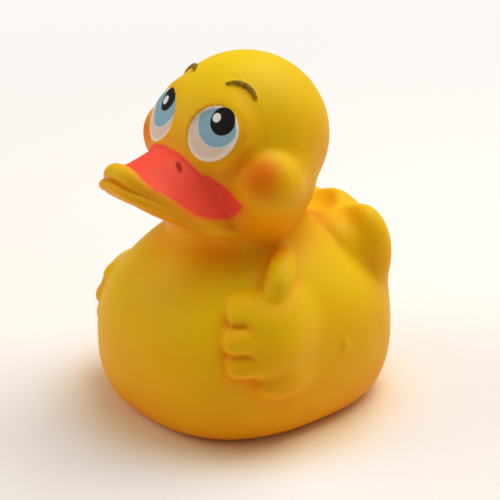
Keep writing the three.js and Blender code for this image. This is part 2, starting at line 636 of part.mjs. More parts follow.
function reduceMesh({ positions, triangles }, targetCount) {
  const vertexCount = positions.length / 3;
  const quadrics = new Float64Array(vertexCount * 10);
  const versions = new Int32Array(vertexCount);
  const facesAt = Array.from({ length: vertexCount }, () => []);
  const alive = new Uint8Array(triangles.length / 3).fill(1);
  const point = (v) => [positions[3 * v], positions[3 * v + 1], positions[3 * v + 2]];

  const normalOf = (p, q, r) => {
    const ax = q[0] - p[0];
    const ay = q[1] - p[1];
    const az = q[2] - p[2];
    const bx = r[0] - p[0];
    const by = r[1] - p[1];
    const bz = r[2] - p[2];
    return [ay * bz - az * by, az * bx - ax * bz, ax * by - ay * bx];
  };

  for (let f = 0; f < alive.length; f += 1) {
    const [a, b, c] = [triangles[3 * f], triangles[3 * f + 1], triangles[3 * f + 2]];
    const p = point(a);
    const n = normalOf(p, point(b), point(c));
    const size = Math.hypot(...n);
    for (const v of [a, b, c]) {
      facesAt[v].push(f);
    }
    if (size > 1e-12) {
      const [nx, ny, nz] = n.map((value) => value / size);
      const offset = -(nx * p[0] + ny * p[1] + nz * p[2]);
      for (const v of [a, b, c]) {
        addQuadric(quadrics, v, nx, ny, nz, offset, size);
      }
    }
  }

  const heap = new EdgeHeap();
  const merged = new Float64Array(10);
  const consider = (a, b) => {
    for (let i = 0; i < 10; i += 1) {
      merged[i] = quadrics[a * 10 + i] + quadrics[b * 10 + i];
    }
    const p = point(a);
    const q = point(b);
    const middle = [(p[0] + q[0]) / 2, (p[1] + q[1]) / 2, (p[2] + q[2]) / 2];
    const length = Math.hypot(p[0] - q[0], p[1] - q[1], p[2] - q[2]);
    let place = quadricLowest(merged);
    if (!place || Math.hypot(place[0] - middle[0], place[1] - middle[1], place[2] - middle[2]) > length) {
      place = middle;
    }
    const cost = Math.max(quadricCost(merged, ...place), 0) + 2e-4 * length ** 4;
    heap.push({ cost, a, b, place, version: versions[a] + versions[b] });
  };

  const neighbours = (v) => {
    const set = new Set();
    for (const f of facesAt[v]) {
      set.add(triangles[3 * f]);
      set.add(triangles[3 * f + 1]);
      set.add(triangles[3 * f + 2]);
    }
    set.delete(v);
    return set;
  };

  const longestSide = ([p, q, r]) => Math.max(
    Math.hypot(p[0] - q[0], p[1] - q[1], p[2] - q[2]),
    Math.hypot(q[0] - r[0], q[1] - r[1], q[2] - r[2]),
    Math.hypot(r[0] - p[0], r[1] - p[1], r[2] - p[2]),
  );

  const foldsOver = (v, other, place) => {
    for (const f of facesAt[v]) {
      const corners = [triangles[3 * f], triangles[3 * f + 1], triangles[3 * f + 2]];
      if (corners.includes(other)) {
        continue;
      }
      const before = corners.map(point);
      const after = corners.map((c) => (c === v ? place : point(c)));
      const n = normalOf(...before);
      const m = normalOf(...after);
      const sizeBefore = Math.hypot(...n);
      const sizeAfter = Math.hypot(...m);
      const slimBefore = sizeBefore / longestSide(before) ** 2;
      const slimAfter = sizeAfter / longestSide(after) ** 2;
      if (slimAfter < Math.min(0.08, 0.9 * slimBefore)) {
        return true;
      }
      const turn = n[0] * m[0] + n[1] * m[1] + n[2] * m[2];
      if (turn < 0.4 * sizeBefore * sizeAfter) {
        return true;
      }
    }
    return false;
  };

  const considerAll = () => {
    for (let f = 0; f < alive.length; f += 1) {
      for (let e = 0; e < 3 && alive[f]; e += 1) {
        const a = triangles[3 * f + e];
        const b = triangles[3 * f + ((e + 1) % 3)];
        if (a < b) {
          consider(a, b);
        }
      }
    }
  };

  let count = alive.length;
  const collapse = ({ a, b, place, version }) => {
    if (versions[a] < 0 || versions[b] < 0 || version !== versions[a] + versions[b]) {
      return;
    }
    const nearA = neighbours(a);
    const nearB = neighbours(b);
    const shared = [...nearA].filter((v) => nearB.has(v)).length;
    if (!nearA.has(b) || shared !== 2 || nearA.size + nearB.size < 9) {
      return;
    }
    if (foldsOver(a, b, place) || foldsOver(b, a, place)) {
      return;
    }
    positions.set(place, 3 * a);
    for (let i = 0; i < 10; i += 1) {
      quadrics[a * 10 + i] += quadrics[b * 10 + i];
    }
    for (const f of facesAt[b]) {
      const corners = [triangles[3 * f], triangles[3 * f + 1], triangles[3 * f + 2]];
      if (corners.includes(a)) {
        alive[f] = 0;
        count -= 1;
        for (const c of corners) {
          if (c !== b) {
            facesAt[c].splice(facesAt[c].indexOf(f), 1);
          }
        }
      } else {
        triangles[3 * f + corners.indexOf(b)] = a;
        facesAt[a].push(f);
      }
    }
    facesAt[b] = [];
    versions[b] = -1e9;
    versions[a] += 1;
    for (const v of neighbours(a)) {
      consider(a, v);
    }
  };

  for (let round = 0; round < 6 && count > targetCount; round += 1) {
    considerAll();
    while (count > targetCount && heap.items.length > 0) {
      collapse(heap.pop());
    }
  }

  const kept = [];
  for (let f = 0; f < alive.length; f += 1) {
    if (alive[f]) {
      kept.push(triangles[3 * f], triangles[3 * f + 1], triangles[3 * f + 2]);
    }
  }
  return { positions, triangles: Int32Array.from(kept) };
}

// Each point is drawn onto the true surface along the slope of the distance.

function settle({ positions, triangles }, distance, furthest) {
  const used = new Set(triangles);
  const gap = 0.02;
  for (const v of used) {
    for (let pass = 0; pass < 3; pass += 1) {
      const [x, y, z] = [positions[3 * v], positions[3 * v + 1], positions[3 * v + 2]];
      const value = distance(x, y, z);
      const gx = (distance(x + gap, y, z) - distance(x - gap, y, z)) / (2 * gap);
      const gy = (distance(x, y + gap, z) - distance(x, y - gap, z)) / (2 * gap);
      const gz = (distance(x, y, z + gap) - distance(x, y, z - gap)) / (2 * gap);
      const slope = Math.max(gx * gx + gy * gy + gz * gz, 0.25);
      const move = Math.min(Math.max(value / slope, -furthest), furthest);
      positions[3 * v] -= move * gx;
      positions[3 * v + 1] -= move * gy;
      positions[3 * v + 2] -= move * gz;
    }
  }
  return { positions, triangles };
}

// Solids

const module = await Module();
module.setup();
const { Manifold } = module;

function meshSolid({ positions, triangles }) {
  const order = new Map();
  const vertices = [];
  const corners = new Uint32Array(triangles.length);
  triangles.forEach((v, index) => {
    if (!order.has(v)) {
      order.set(v, order.size);
      vertices.push(positions[3 * v], positions[3 * v + 1], positions[3 * v + 2]);
    }
    corners[index] = order.get(v);
  });
  return Manifold.ofMesh(new module.Mesh({
    numProp: 3,
    vertProperties: new Float32Array(vertices),
    triVerts: corners,
  }));
}

function geometrySolid(geometry) {
  const source = geometry.getAttribute('position');
  const index = geometry.getIndex();
  const seen = new Map();
  const positions = [];
  const renamed = [];
  for (let v = 0; v < source.count; v += 1) {
    const place = [source.getX(v), source.getY(v), source.getZ(v)];
    const key = place.map((value) => Math.round(value * 1e4)).join(',');
    if (!seen.has(key)) {
      seen.set(key, positions.length / 3);
      positions.push(...place);
    }
    renamed.push(seen.get(key));
  }
  const triangles = [];
  for (let t = 0; t < index.count; t += 3) {
    const [a, b, c] = [0, 1, 2].map((corner) => renamed[index.getX(t + corner)]);
    if (a !== b && b !== c && c !== a) {
      triangles.push(a, b, c);
    }
  }
  return meshSolid({ positions: Float64Array.from(positions), triangles: Int32Array.from(triangles) });
}

function solidGeometry(solid) {
  const mesh = solid.getMesh();
  const geometry = new THREE.BufferGeometry();
  const positions = new Float32Array(mesh.numVert * 3);
  for (let v = 0; v < mesh.numVert; v += 1) {
    for (let axis = 0; axis < 3; axis += 1) {
      positions[3 * v + axis] = mesh.vertProperties[mesh.numProp * v + axis];
    }
  }
  geometry.setAttribute('position', new THREE.BufferAttribute(positions, 3));
  geometry.setIndex(new THREE.BufferAttribute(Uint32Array.from(mesh.triVerts), 1));
  geometry.computeVertexNormals();
  return geometry;
}

// A turned solid about the vertical axis. The profile runs anticlockwise in (radius, height).
function turned(profile) {
  const points = profile.map(([radius, height]) => new THREE.Vector2(radius, height));
  points.push(points[0].clone());
  const geometry = new THREE.LatheGeometry(points, ROUND_SEGMENTS);
  geometry.rotateX(Math.PI / 2);
  return geometrySolid(geometry);
}

function rod(radius, bottom, top) {
  return turned([[0, bottom], [radius, bottom], [radius, top], [0, top]]);
}

function block(width, depth, height, x, y, z) {
  const geometry = new THREE.BoxGeometry(width, depth, height);
  geometry.translate(x, y, z);
  return geometrySolid(geometry);
}

// The moulding

const OVERALL = HEAD_HEIGHT + HEAD_RADIUS;
const LOW = [-HALF_LENGTH - 6, -HALF_WIDTH - 8, -2];
const HIGH = [Math.max(HALF_LENGTH, BILL_REACH + 3) + 8, HALF_WIDTH + 8, OVERALL + 4];
const LARGEST = Math.max(...LOW.map((value, axis) => HIGH[axis] - value));

function duckSkin() {
  const outerCell = LARGEST * OUTER_CELL_SHARE;
  const innerCell = LARGEST * INNER_CELL_SHARE;
  const surface = (distance, cell, fineCell, facets) => {
    const lines = [
      gridLines(LOW[0], HIGH[0], cell, fineCell, 4, HIGH[0]),
      gridLines(LOW[1], HIGH[1], cell, fineCell, -BILL_WIDTH / 2 - 2, BILL_WIDTH / 2 + 2),
      gridLines(LOW[2], HIGH[2], cell, fineCell, HEAD_HEIGHT - 20, HEAD_HEIGHT + 18),
    ];
    const fine = settle(largestSurface(levelMesh(distance, lines)), distance, 0.3 * cell);
    return settle(reduceMesh(fine, facets), distance, 0.1 * cell);
  };
  const outer = surface(duckDistance, outerCell, outerCell * FACE_CELL_SHARE, OUTER_FACETS);
  const inner = surface(cavityDistance, innerCell, innerCell, INNER_FACETS);
  const trim = 0.05;
  const below = block(200, 200, 20, 0, 0, trim - 10);
  const hole = rod(SQUEAKER_HOLE_DIAMETER / 2, -1, FLOOR + 2);
  const recess = rod(FLANGE_RECESS_DIAMETER / 2, -1, FLANGE_RECESS_DEPTH + trim);
  return meshSolid(outer).subtract(meshSolid(inner)).subtract(below).subtract(hole).subtract(recess)
    .translate([0, 0, -trim]);
}

// The squeaker, seated in the base: its flanges grip the edge of the hole from both sides.

const STEM_RADIUS = SQUEAKER_HOLE_DIAMETER / 2 - SQUEAKER_FIT;
const LIP_BOTTOM = FLANGE_RECESS_DEPTH;
const LIP_TOP = FLOOR - 0.05;
const FLANGE_TOP = LIP_BOTTOM - SQUEAKER_FIT;
const FLANGE_BOTTOM = FLANGE_TOP - FLANGE_THICKNESS;
const INNER_FLANGE_BOTTOM = LIP_TOP + SQUEAKER_FIT;
const INNER_FLANGE_TOP = INNER_FLANGE_BOTTOM + FLANGE_THICKNESS;
const CUP_RADIUS = STEM_RADIUS - 0.8;
const CUP_TOP = FLANGE_BOTTOM + CUP_LENGTH;
const CUP_BORE = CUP_RADIUS - CUP_WALL;

function squeakerCup() {
  const flange = FLANGE_RECESS_DIAMETER / 2 - SQUEAKER_FIT - 1;
  const innerFlange = SQUEAKER_HOLE_DIAMETER / 2 + INNER_FLANGE_OVERLAP;
  const airHole = AIR_HOLE_DIAMETER / 2;
  return turned([
    [airHole, FLANGE_BOTTOM], [flange, FLANGE_BOTTOM], [flange, FLANGE_TOP], [STEM_RADIUS, FLANGE_TOP],
    [STEM_RADIUS, INNER_FLANGE_BOTTOM], [innerFlange, INNER_FLANGE_BOTTOM],
    [innerFlange - 0.4, INNER_FLANGE_TOP], [CUP_RADIUS, INNER_FLANGE_TOP + 0.6], [CUP_RADIUS, CUP_TOP - 0.6],
    [CUP_RADIUS - 0.6, CUP_TOP], [airHole, CUP_TOP], [airHole, CUP_TOP - CUP_WALL],
    [CUP_BORE, CUP_TOP - CUP_WALL], [CUP_BORE, FLANGE_BOTTOM + CUP_WALL + 0.4],
    [airHole, FLANGE_BOTTOM + CUP_WALL + 0.4],
  ]);
}

const SEAT_BOTTOM = FLANGE_BOTTOM + CUP_WALL + 0.4 + SQUEAKER_FIT;

function reedSeat() {
  const radius = REED_SEAT_DIAMETER / 2;
  const collar = CUP_BORE - SQUEAKER_FIT;
  const body = turned([
    [0, SEAT_BOTTOM], [collar, SEAT_BOTTOM], [collar, SEAT_BOTTOM + 1.4], [radius, SEAT_BOTTOM + 1.4],
    [radius, SEAT_BOTTOM + REED_SEAT_LENGTH - 0.5], [radius - 0.5, SEAT_BOTTOM + REED_SEAT_LENGTH],
    [0, SEAT_BOTTOM + REED_SEAT_LENGTH],
  ]);
  const middle = SEAT_BOTTOM + REED_SEAT_LENGTH / 2;
  const face = block(
    radius, 3 * radius, REED_SEAT_LENGTH - 1.4, radius, 0, SEAT_BOTTOM + 1.4 + (REED_SEAT_LENGTH - 1.4) / 2 + 0.01,
  );
  const groove = block(
    2 * REED_GROOVE_DEPTH, REED_GROOVE_WIDTH, REED_SEAT_LENGTH, radius / 2, 0, middle - 1,
  );
  return body.subtract(face).subtract(groove);
}

function reed() {
  const width = REED_GROOVE_WIDTH + 1.4;
  const length = REED_SEAT_LENGTH - 1.4 - 2 * SQUEAKER_FIT;
  const bottom = SEAT_BOTTOM + 1.4 + SQUEAKER_FIT;
  const x = REED_SEAT_DIAMETER / 4 + SQUEAKER_FIT + REED_THICKNESS / 2;
  return block(REED_THICKNESS, width, length, x, 0, bottom + length / 2);
}

// Assembly: the skin's box is centred on the axis, and the squeaker stays in its hole.

const latex = new THREE.MeshStandardMaterial({ color: 0xd9a80c, roughness: 0.55, metalness: 0 });
const plastic = new THREE.MeshStandardMaterial({ color: 0xeeeeea, roughness: 0.4, metalness: 0 });
const reedFilm = new THREE.MeshStandardMaterial({ color: 0xd8dde0, roughness: 0.3, metalness: 0 });

function named(name, solid, material) {
  const mesh = new THREE.Mesh(solidGeometry(solid), material);
  mesh.name = name;
  return mesh;
}

const moulding = named('duck_skin', duckSkin(), latex);
const pieces = new THREE.Group();
pieces.add(moulding);
pieces.add(named('squeaker_cup', squeakerCup(), plastic));
pieces.add(named('squeaker_reed_seat', reedSeat(), plastic.clone()));
pieces.add(named('squeaker_reed', reed(), reedFilm));

const middle = new THREE.Box3().setFromObject(moulding).getCenter(new THREE.Vector3());
pieces.position.set(-middle.x, -middle.y, 0);

const duck = new THREE.Group();
duck.name = 'rubber_duck';
duck.add(pieces);

export default duck;
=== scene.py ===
"""Rubber duck: the latex moulding, its hand-painted colours, the squeaker in its base, and the stage.

Lengths in the formulas are in millimetres with +Z up. +X is the way the duck faces and +Y is its left side.
"""
import math
from functools import partial
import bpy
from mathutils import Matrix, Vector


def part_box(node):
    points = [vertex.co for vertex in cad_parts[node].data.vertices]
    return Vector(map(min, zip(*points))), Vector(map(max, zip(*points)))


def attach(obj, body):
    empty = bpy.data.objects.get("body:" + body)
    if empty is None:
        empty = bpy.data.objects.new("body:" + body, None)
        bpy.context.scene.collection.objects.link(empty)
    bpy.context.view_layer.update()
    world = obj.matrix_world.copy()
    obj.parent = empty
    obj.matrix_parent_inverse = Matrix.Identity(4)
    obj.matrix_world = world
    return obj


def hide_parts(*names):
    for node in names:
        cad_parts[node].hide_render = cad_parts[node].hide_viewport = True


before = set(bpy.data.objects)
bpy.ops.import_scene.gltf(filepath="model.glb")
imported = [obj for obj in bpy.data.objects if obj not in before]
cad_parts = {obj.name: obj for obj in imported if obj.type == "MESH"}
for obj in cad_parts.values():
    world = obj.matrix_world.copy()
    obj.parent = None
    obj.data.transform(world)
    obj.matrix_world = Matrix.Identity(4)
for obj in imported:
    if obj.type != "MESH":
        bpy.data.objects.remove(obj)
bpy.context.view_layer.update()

from types import SimpleNamespace

import bpy
import numpy as np
from mathutils import Vector

bl_info = {
    "name": "Rubber Duck",
    "version": (1, 0, 0),
    "blender": (4, 5, 0),
    "location": "View3D > Sidebar > Rubber Duck",
    "description": "Makes a hollow latex bath duck with painted eyes and bill, its squeaker and its stage",
    "category": "Add Mesh",
}

MM = 0.001


def linear(red, green, blue):
    """Scene-linear colour of an sRGB colour written from 0 to 255."""
    share = np.array([red, green, blue]) / 255
    return tuple(np.where(share <= 0.04045, share / 12.92, ((share + 0.055) / 1.055) ** 2.4).tolist())


# Settings

def length(name, description, millimetres):
    """A property that holds a length."""
    return bpy.props.FloatProperty(
        name=name, description=description, default=millimetres * MM, min=0, unit="LENGTH", precision=5,
    )


def colour(name, description, *srgb):
    """A property that holds a colour."""
    return bpy.props.FloatVectorProperty(
        name=name, description=description, default=linear(*srgb), size=3, min=0, max=1, subtype="COLOR",
    )


class DuckSizes(bpy.types.PropertyGroup):
    """Sizes of the moulding."""

    body_length: length("Body length", "Length of the hull from breast to rear", 75.8)
    body_width: length("Body width", "Width of the hull", 68.6)
    head_diameter: length("Head diameter", "Diameter of the ball of the head", 42.4)
    head_height: length("Head height", "Height of the middle of the head", 71.5)
    bill_reach: length("Bill reach", "From the middle of the head to the tip of the bill", 38.3)
    bill_width: length("Bill width", "Width of the bill at its corners", 31.8)
    eye_width: length("Eye width", "Width of a raised eye", 13.35)
    eye_height: length("Eye height", "Height of a raised eye", 14.5)
    brow_length: length("Brow length", "Length of a brow along its arc", 8.9)
    fist_height: length("Fist height", "Height of the middle of the left fist", 27.8)
    thumb_length: length("Thumb length", "Length of the raised thumb", 11)
    tail_top: length("Tail top", "Height of the tail's middle lobe", 49.7)
    cell: length("Cell", "Size of the facets on the body", 0.8)
    face_cell: length("Face cell", "Size of the facets on the face and bill", 0.5)


class DuckColours(bpy.types.PropertyGroup):
    """Colours of the latex and of the paint on it, and darker copies of the latex and the red that are painted in as
    shade.
    """

    latex: colour("Latex", "Yellow natural latex", 247, 212, 8)
    # Painted shade: this orange stands in for the shade that falls in folds and on undersides
    painted_shade: colour("Deep latex", "Latex in folds and on undersides", 243, 150, 0)
    blush: colour("Blush", "Sprayed orange on the cheeks and the tail", 240, 106, 0)
    bill_red: colour("Bill red", "Red paint on top of the bill", 255, 84, 60)
    # Painted shade: a darker copy of the bill red for where the bill is sheltered
    bill_red_painted_shade: colour("Bill red in folds", "Deeper red paint where the bill is sheltered", 240, 44, 30)
    nostril: colour("Nostril", "Dark red in the nostrils", 140, 26, 16)
    bill_edge: colour("Bill edge", "Orange where the red runs out", 244, 140, 30)
    eye_rim: colour("Eye rim", "Cream rim of the eyes", 250, 238, 214)
    eye_white: colour("Eye white", "Pinkish white of the eyes", 236, 212, 192)
    iris: colour("Iris", "Pale blue of the eyes", 142, 184, 198)
    iris_edge: colour("Iris edge", "Paler line round the iris", 214, 226, 228)
    pupil: colour("Pupil", "Black of the eyes", 22, 20, 18)
    glint: colour("Glint", "White spot on the pupils", 244, 242, 238)
    brow: colour("Brow", "Dark brown of the brows", 62, 34, 8)
    plastic: colour("Plastic", "Off-white plastic of the squeaker", 232, 230, 222)
    plastic_cloud: colour("Clouded plastic", "Darker clouds in the squeaker's plastic", 212, 208, 196)
    reed: colour("Reed", "Pale film of the reed", 206, 213, 218)
    reed_cloud: colour("Clouded reed", "Darker clouds in the reed's film", 188, 198, 206)


class DuckStage(bpy.types.PropertyGroup):
    """Floor, lamps and camera."""

    floor: colour("Floor", "Colour of the floor", 253, 249, 244)
    # Painted light: the warm bounce light and shadow of the yellow duck on the floor close by
    floor_painted_light: colour("Floor near the duck", "Warmer colour of the floor close to the duck", 255, 232, 176)
    key: bpy.props.FloatProperty(
        name="Key", description="Power of the large lamp above", default=4.3, min=0, unit="POWER",
    )
    fill: bpy.props.FloatProperty(
        name="Fill", description="Power of the lamp at the left, and three times that of the one at the right",
        default=1.55, min=0, unit="POWER",
    )
    sky: bpy.props.FloatProperty(
        name="Sky", description="Strength of the light from all round", default=0.25, min=0,
    )
    azimuth: bpy.props.FloatProperty(
        name="Azimuth", description="Camera's turn from straight ahead of the duck", default=math.radians(50),
        subtype="ANGLE",
    )
    elevation: bpy.props.FloatProperty(
        name="Elevation", description="Camera's angle above the floor", default=math.radians(22), subtype="ANGLE",
    )
    distance: length("Distance", "From the camera to the middle of the duck", 400)
    lens: bpy.props.FloatProperty(
        name="Lens", description="Focal length", default=110.59, min=1, subtype="DISTANCE_CAMERA",
    )


def millimetres(settings):
    """The duck's sizes as plain numbers in millimetres. The functions below take them as s."""
    return SimpleNamespace(**{name: getattr(settings, name) / MM for name in DuckSizes.__annotations__})


# Distances to simple shapes: negative inside, in millimetres near the surface, for whole arrays at once. A shape
# takes a place as its offset from the shape's middle, and then the shape's radii or half sizes.

FAR = 20  # added to a distance where its form is left out


def smooth_min(a, b, blend):
    """The smaller of two distances, rounded by a cubic where they differ by less than the blend."""
    overlap = np.maximum(blend - np.abs(a - b), 0) / blend
    return np.minimum(a, b) - overlap ** 3 * (blend / 6)


def smooth_max(a, b, blend):
    """The larger of two distances, rounded in the same way."""
    return -smooth_min(-a, -b, blend)


def smooth_step(start, end, value):
    """0 before the start, 1 after the end, and 3t^2 - 2t^3 between."""
    t = np.clip((value - start) / (end - start), 0, 1)
    return t * t * (3 - 2 * t)


def ellipsoid(x, y, z, rx, ry, rz):
    """Distance to an ellipsoid: its level less one, over the level's slope."""
    ux, uy, uz = x / rx, y / ry, z / rz
    level = np.sqrt(ux ** 2 + uy ** 2 + uz ** 2)
    slope = np.sqrt((ux / rx) ** 2 + (uy / ry) ** 2 + (uz / rz) ** 2)
    return level * (level - 1) / np.maximum(slope, 1e-6)


def square_ellipsoid(x, y, z, rx, ry, rz, power):
    """Distance to a superellipsoid, whose level is the power mean of the three shares."""
    ux, uy, uz = (np.abs(a / r) + 1e-6 for a, r in ((x, rx), (y, ry), (z, rz)))
    total = ux ** power + uy ** power + uz ** power
    rise = [u ** (power - 1) / r for u, r in ((ux, rx), (uy, ry), (uz, rz))]
    slope = np.sqrt(rise[0] ** 2 + rise[1] ** 2 + rise[2] ** 2) * total ** (1 / power - 1)
    return (total ** (1 / power) - 1) / np.maximum(slope, 1e-6)


def rounded_box(x, y, z, hx, hy, hz, rounding):
    """Distance to a box of half sizes hx, hy and hz with round edges."""
    qx, qy, qz = (np.abs(a) - h + rounding for a, h in ((x, hx), (y, hy), (z, hz)))
    out = np.sqrt(np.maximum(qx, 0) ** 2 + np.maximum(qy, 0) ** 2 + np.maximum(qz, 0) ** 2)
    return out + np.minimum(np.maximum(np.maximum(qx, qy), qz), 0) - rounding


def rod(x, y, z, start, end, radius):
    """Distance to the nearest point of a straight core from a start to an end, less the radius."""
    core = [b - a for a, b in zip(start, end)]
    offset = [a - b for a, b in zip((x, y, z), start)]
    t = np.clip(sum(a * b for a, b in zip(offset, core)) / sum(c * c for c in core), 0, 1)
    return np.sqrt(sum((a - c * t) ** 2 for a, c in zip(offset, core))) - radius


def oval(across, up, rx, ry):
    """Distance to an ellipse in a plane: its level less one, over the level's slope."""
    level = np.hypot(across / rx, up / ry)
    slope = np.hypot(across / rx ** 2, up / ry ** 2) / np.maximum(level, 1e-5)
    return (level - 1) / np.maximum(slope, 1e-3)


# Body and hands

TAIL_SHIFT = 3.5  # how far the tail lies to the left of the middle


def body_distance(s, x, y, z):
    """A boat-shaped hull, shoulders, a rear block and a tail of three lobes, less a dish in the back and a scoop in
    front of the middle lobe, with the lower edge rounded."""
    half_length, half_width = s.body_length / 2, s.body_width / 2
    belly = square_ellipsoid(x, y, z - 17, half_length, half_width, 27, 2.5)
    shoulders = ellipsoid(x - 1, y, z - 28, half_length - 6.8, half_width - 4.8, 24)
    rear = square_ellipsoid(x + half_length - 14.4, y, z - 30, 11.5, half_width - 11.3, s.tail_top - 31.4, 4)
    body = smooth_min(smooth_min(belly, shoulders, 8), rear, 3)
    tail_x = half_length - 9.4
    tail_side = np.abs(y - TAIL_SHIFT)
    middle_lobe = ellipsoid(x + tail_x, tail_side, z - s.tail_top + 11.9, 6.5, 8.5, 12.2)
    side_lobe = ellipsoid(x + tail_x - 2.5, tail_side - 14, z - s.tail_top + 11.6, 6, 8.5, 12.2)
    body = smooth_min(body, smooth_min(middle_lobe, side_lobe, 0.8), 4.5)
    dish = ellipsoid(x + half_length - 17.4, y, z - s.tail_top - 13.8, 13, 20, 16.8)
    scoop = ellipsoid(x + tail_x - 7.3, tail_side, z - s.tail_top - 1.2, 5.6, 7, 4.4)
    body = smooth_max(body, -smooth_min(dish, scoop, 2), 1)
    return smooth_max(body, -z, 6)


def round_flank(x, side):
    """How far back round the flank a place is: its coordinate along the level line that touches the flank where it
    faces 50 degrees to the side."""
    return 0.643 * side - 0.766 * x


def fist_distance(s, x, side, z, body, lift, web):
    """Three curled fingers, one over another on a web, with the back of the hand, its heel and its knuckles. Their
    places are how far back round the flank, how high over the fist's middle and how far out of the body they are."""
    back = round_flank(x, side)
    height = z - s.fist_height - lift
    index = rounded_box(back - 2.3, height - 9.1, body, 7.0, 3.05, 3.5, 2.8)
    middle = rounded_box(back - 1.9, height - 2.9, body, 7.3, 3.15, 3.7, 2.7)
    third = rounded_box(back - 2.4, height + 3.2, body, 7.0, 3.05, 3.4, 2.7)
    pad = rounded_box(back - 2.5, height - 2.6, body, 5.0, 8.0, web, min(web, 1.5))
    fingers = smooth_min(smooth_min(smooth_min(index, middle, 0.3), third, 0.3), pad, 0.5)
    palm = ellipsoid(back - 8.8, height - 1.6, body + 4.0, 10.4, 12.0, 8.9)
    heel = ellipsoid(back - 9.4, height + 9.0, body + 0.8, 7.6, 4.6, 4.8)
    knuckles = ellipsoid(back - 7.8, height - 7.2, body + 0.4, 8.2, 5.5, 5.4)
    return smooth_min(fingers, smooth_min(smooth_min(palm, heel, 3), knuckles, 2), 1.6)


def thumb_distance(s, x, y, z, body):
    """Two short rods that bend back at the joint, with places as in the fist."""
    place = round_flank(x, y), z - s.fist_height, body
    joint = (8.0, 12.8, 0.6)
    lower = rod(*place, (7.4, 9.5, -1.6), joint, 3.5)
    upper = rod(*place, joint, (9.3, s.thumb_length + 5.5, 2.8), 3.5)
    return smooth_min(lower, upper, 1)


# Head, in its own frame: u forward, v out to either side, w up along the tipped head

TIP_BACK = math.radians(15)
HEAD_BACK = 0.7  # how far the head's middle lies behind the body's


def head_frame(s, x, z):
    """Forward and up coordinates of the head, which is tipped back about its middle."""
    dx, dz = x + HEAD_BACK, z - s.head_height
    return (math.cos(TIP_BACK) * dx + math.sin(TIP_BACK) * dz,
            -math.sin(TIP_BACK) * dx + math.cos(TIP_BACK) * dz)


def lower_height(u, y, w):
    """Height for the muzzle, the cheeks and the bill, which are a little higher on the right. That fades out
    towards the bill's tip."""
    return w + 0.09 * y * smooth_step(34, 18, u)


def tangent_frame(direction, lean=0.0):
    """Unit vectors across and up at a direction from the head's middle, leaned about it."""
    out = np.array(direction) / np.linalg.norm(direction)
    across = np.cross((0, 0, 1), out)
    across /= np.linalg.norm(across)
    up = np.cross(out, across)
    return (across * math.cos(lean) - up * math.sin(lean), up * math.cos(lean) + across * math.sin(lean))


EYE_ACROSS, EYE_UP = tangent_frame((18.98, 9.4, 0.86), math.radians(45.3))
EYE_OUT = np.cross(EYE_ACROSS, EYE_UP)
EYE_RISE, EYE_DOME = 1.27, 38  # height over the ball, and the radius of the dome
EYE_TURN, EYE_DROP = 0.255, 0.02  # slopes of the dome outwards and down
BROW_ACROSS, BROW_UP = tangent_frame((14.0, 9.8, 13.2))
BROW_ARC = 5.7  # radius of the arc that a brow follows


def coordinate(axis, u, v, w):
    """How far along an axis a place is."""
    return u * axis[0] + v * axis[1] + w * axis[2]


def eye_outline(s, u, v, w):
    """Distance from the edge of the raised eye, measured across the eye's own plane."""
    return oval(coordinate(EYE_ACROSS, u, v, w), coordinate(EYE_UP, u, v, w), s.eye_width / 2, s.eye_height / 2)


def brow_distance(s, u, v, w, head, right):
    """A bead, thickest in the middle, along an arc that lies on the head over the eye: the distance from the nearest
    point of the arc, less the bead's thickness there. The right one lies a little farther in and higher."""
    across = coordinate(BROW_ACROSS, u, v, w) + np.where(right, 1.2, 0.6)
    up = coordinate(BROW_UP, u, v, w) + np.where(right, 4.5, 5.2)
    angle = np.arctan2(across, up) - math.radians(16)
    half = s.brow_length / 2 / BROW_ARC
    nearest = np.clip(angle, -half, half)
    radial = np.hypot(across, up)
    beyond = (angle - nearest) * radial
    thickness = 0.85 * (1 - 0.4 * (nearest / half) ** 2)
    return np.sqrt((radial - BROW_ARC) ** 2 + beyond ** 2 + head ** 2) - thickness


def eye_plane(s, u, v, w):
    """Distance above the shallow dome that the eye lies on, which turns outwards and down from the ball."""
    a, b = coordinate(EYE_ACROSS, u, v, w), coordinate(EYE_UP, u, v, w)
    dome = s.head_diameter / 2 + EYE_RISE - (a ** 2 + b ** 2) / (2 * EYE_DOME) + EYE_TURN * a + EYE_DROP * b
    return (coordinate(EYE_OUT, u, v, w) - dome) / np.sqrt(1 + (EYE_TURN - a / EYE_DOME) ** 2 + (b / EYE_DOME) ** 2)


